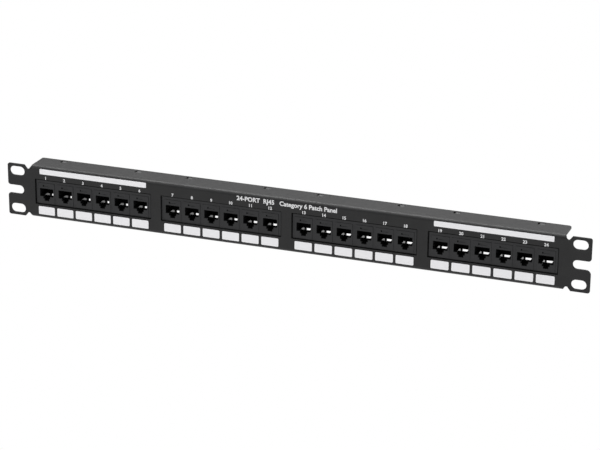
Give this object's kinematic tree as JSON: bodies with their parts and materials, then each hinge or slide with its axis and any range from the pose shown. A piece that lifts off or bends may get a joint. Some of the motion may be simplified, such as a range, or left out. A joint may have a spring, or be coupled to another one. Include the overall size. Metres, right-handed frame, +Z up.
{
  "type": "patch panel",
  "caption": "Rack-mount copper patch panel: bent steel channel with slotted ears, snap-in RJ45 socket modules, write-on labels and rear punch-down blocks.",
  "frame": {"origin": "middle of the front plate's front face", "axes": "+X to the right seen from the front, +Y from the front to the rear of the panel, +Z up"},
  "size_m": [0.4826, 0.0326, 0.0436],
  "materials": {
    "painted_steel": "black powder coat, satin",
    "housing_plastic": "black moulded plastic, fine satin",
    "label_white": "white write-on surface, matt",
    "board": "green solder mask",
    "terminal_plastic": "black moulded plastic",
    "contact_gold": "gold-plated spring wire"
  },
  "bodies": {
    "panel": {"panel_frame": "painted_steel", "header_label_left": "label_white", "header_label_right": "label_white", "port_label_strip_1": "label_white", "port_label_strip_2": "label_white", "port_label_strip_3": "label_white", "port_label_strip_4": "label_white", "jack_housing_1": "housing_plastic", "jack_housing_2": "housing_plastic", "jack_housing_3": "housing_plastic", "jack_housing_4": "housing_plastic", "circuit_board_1": "board", "circuit_board_2": "board", "circuit_board_3": "board", "circuit_board_4": "board", "idc_block_1_upper": "terminal_plastic", "idc_block_1_lower": "terminal_plastic", "idc_block_2_upper": "terminal_plastic", "idc_block_2_lower": "terminal_plastic", "idc_block_3_upper": "terminal_plastic", "idc_block_3_lower": "terminal_plastic", "idc_block_4_upper": "terminal_plastic", "idc_block_4_lower": "terminal_plastic", "rear_label_1": "label_white", "rear_label_2": "label_white", "rear_label_3": "label_white", "rear_label_4": "label_white"},
    "contacts_01": {"contact_set_01": "contact_gold"},
    "contacts_02": {"contact_set_02": "contact_gold"},
    "contacts_03": {"contact_set_03": "contact_gold"},
    "contacts_04": {"contact_set_04": "contact_gold"},
    "contacts_05": {"contact_set_05": "contact_gold"},
    "contacts_06": {"contact_set_06": "contact_gold"},
    "contacts_07": {"contact_set_07": "contact_gold"},
    "contacts_08": {"contact_set_08": "contact_gold"},
    "contacts_09": {"contact_set_09": "contact_gold"},
    "contacts_10": {"contact_set_10": "contact_gold"},
    "contacts_11": {"contact_set_11": "contact_gold"},
    "contacts_12": {"contact_set_12": "contact_gold"},
    "contacts_13": {"contact_set_13": "contact_gold"},
    "contacts_14": {"contact_set_14": "contact_gold"},
    "contacts_15": {"contact_set_15": "contact_gold"},
    "contacts_16": {"contact_set_16": "contact_gold"},
    "contacts_17": {"contact_set_17": "contact_gold"},
    "contacts_18": {"contact_set_18": "contact_gold"},
    "contacts_19": {"contact_set_19": "contact_gold"},
    "contacts_20": {"contact_set_20": "contact_gold"},
    "contacts_21": {"contact_set_21": "contact_gold"},
    "contacts_22": {"contact_set_22": "contact_gold"},
    "contacts_23": {"contact_set_23": "contact_gold"},
    "contacts_24": {"contact_set_24": "contact_gold"}
  },
  "joints": [
    {"name": "contact_spring_01", "type": "hinge", "parent": "panel", "child": "contacts_01", "pos_m": [-0.20738, 0.0056, 0.0048], "axis": [1, 0, 0], "range_deg": [0, 8], "stiffness_Nm_per_rad": 0.02},
    {"name": "contact_spring_02", "type": "hinge", "parent": "panel", "child": "contacts_02", "pos_m": [-0.19087, 0.0056, 0.0048], "axis": [1, 0, 0], "range_deg": [0, 8], "stiffness_Nm_per_rad": 0.02},
    {"name": "contact_spring_03", "type": "hinge", "parent": "panel", "child": "contacts_03", "pos_m": [-0.17436, 0.0056, 0.0048], "axis": [1, 0, 0], "range_deg": [0, 8], "stiffness_Nm_per_rad": 0.02},
    {"name": "contact_spring_04", "type": "hinge", "parent": "panel", "child": "contacts_04", "pos_m": [-0.15785, 0.0056, 0.0048], "axis": [1, 0, 0], "range_deg": [0, 8], "stiffness_Nm_per_rad": 0.02},
    {"name": "contact_spring_05", "type": "hinge", "parent": "panel", "child": "contacts_05", "pos_m": [-0.14133, 0.0056, 0.0048], "axis": [1, 0, 0], "range_deg": [0, 8], "stiffness_Nm_per_rad": 0.02},
    {"name": "contact_spring_06", "type": "hinge", "parent": "panel", "child": "contacts_06", "pos_m": [-0.12483, 0.0056, 0.0048], "axis": [1, 0, 0], "range_deg": [0, 8], "stiffness_Nm_per_rad": 0.02},
    {"name": "contact_spring_07", "type": "hinge", "parent": "panel", "child": "contacts_07", "pos_m": [-0.09688, 0.0056, 0.0048], "axis": [1, 0, 0], "range_deg": [0, 8], "stiffness_Nm_per_rad": 0.02},
    {"name": "contact_spring_08", "type": "hinge", "parent": "panel", "child": "contacts_08", "pos_m": [-0.08037, 0.0056, 0.0048], "axis": [1, 0, 0], "range_deg": [0, 8], "stiffness_Nm_per_rad": 0.02},
    {"name": "contact_spring_09", "type": "hinge", "parent": "panel", "child": "contacts_09", "pos_m": [-0.06385, 0.0056, 0.0048], "axis": [1, 0, 0], "range_deg": [0, 8], "stiffness_Nm_per_rad": 0.02},
    {"name": "contact_spring_10", "type": "hinge", "parent": "panel", "child": "contacts_10", "pos_m": [-0.04734, 0.0056, 0.0048], "axis": [1, 0, 0], "range_deg": [0, 8], "stiffness_Nm_per_rad": 0.02},
    {"name": "contact_spring_11", "type": "hinge", "parent": "panel", "child": "contacts_11", "pos_m": [-0.03084, 0.0056, 0.0048], "axis": [1, 0, 0], "range_deg": [0, 8], "stiffness_Nm_per_rad": 0.02},
    {"name": "contact_spring_12", "type": "hinge", "parent": "panel", "child": "contacts_12", "pos_m": [-0.01432, 0.0056, 0.0048], "axis": [1, 0, 0], "range_deg": [0, 8], "stiffness_Nm_per_rad": 0.02},
    {"name": "contact_spring_13", "type": "hinge", "parent": "panel", "child": "contacts_13", "pos_m": [0.01362, 0.0056, 0.0048], "axis": [1, 0, 0], "range_deg": [0, 8], "stiffness_Nm_per_rad": 0.02},
    {"name": "contact_spring_14", "type": "hinge", "parent": "panel", "child": "contacts_14", "pos_m": [0.03013, 0.0056, 0.0048], "axis": [1, 0, 0], "range_deg": [0, 8], "stiffness_Nm_per_rad": 0.02},
    {"name": "contact_spring_15", "type": "hinge", "parent": "panel", "child": "contacts_15", "pos_m": [0.04664, 0.0056, 0.0048], "axis": [1, 0, 0], "range_deg": [0, 8], "stiffness_Nm_per_rad": 0.02},
    {"name": "contact_spring_16", "type": "hinge", "parent": "panel", "child": "contacts_16", "pos_m": [0.06316, 0.0056, 0.0048], "axis": [1, 0, 0], "range_deg": [0, 8], "stiffness_Nm_per_rad": 0.02},
    {"name": "contact_spring_17", "type": "hinge", "parent": "panel", "child": "contacts_17", "pos_m": [0.07966, 0.0056, 0.0048], "axis": [1, 0, 0], "range_deg": [0, 8], "stiffness_Nm_per_rad": 0.02},
    {"name": "contact_spring_18", "type": "hinge", "parent": "panel", "child": "contacts_18", "pos_m": [0.09617, 0.0056, 0.0048], "axis": [1, 0, 0], "range_deg": [0, 8], "stiffness_Nm_per_rad": 0.02},
    {"name": "contact_spring_19", "type": "hinge", "parent": "panel", "child": "contacts_19", "pos_m": [0.12412, 0.0056, 0.0048], "axis": [1, 0, 0], "range_deg": [0, 8], "stiffness_Nm_per_rad": 0.02},
    {"name": "contact_spring_20", "type": "hinge", "parent": "panel", "child": "contacts_20", "pos_m": [0.14064, 0.0056, 0.0048], "axis": [1, 0, 0], "range_deg": [0, 8], "stiffness_Nm_per_rad": 0.02},
    {"name": "contact_spring_21", "type": "hinge", "parent": "panel", "child": "contacts_21", "pos_m": [0.15715, 0.0056, 0.0048], "axis": [1, 0, 0], "range_deg": [0, 8], "stiffness_Nm_per_rad": 0.02},
    {"name": "contact_spring_22", "type": "hinge", "parent": "panel", "child": "contacts_22", "pos_m": [0.17366, 0.0056, 0.0048], "axis": [1, 0, 0], "range_deg": [0, 8], "stiffness_Nm_per_rad": 0.02},
    {"name": "contact_spring_23", "type": "hinge", "parent": "panel", "child": "contacts_23", "pos_m": [0.19017, 0.0056, 0.0048], "axis": [1, 0, 0], "range_deg": [0, 8], "stiffness_Nm_per_rad": 0.02},
    {"name": "contact_spring_24", "type": "hinge", "parent": "panel", "child": "contacts_24", "pos_m": [0.20667, 0.0056, 0.0048], "axis": [1, 0, 0], "range_deg": [0, 8], "stiffness_Nm_per_rad": 0.02}
  ]
}
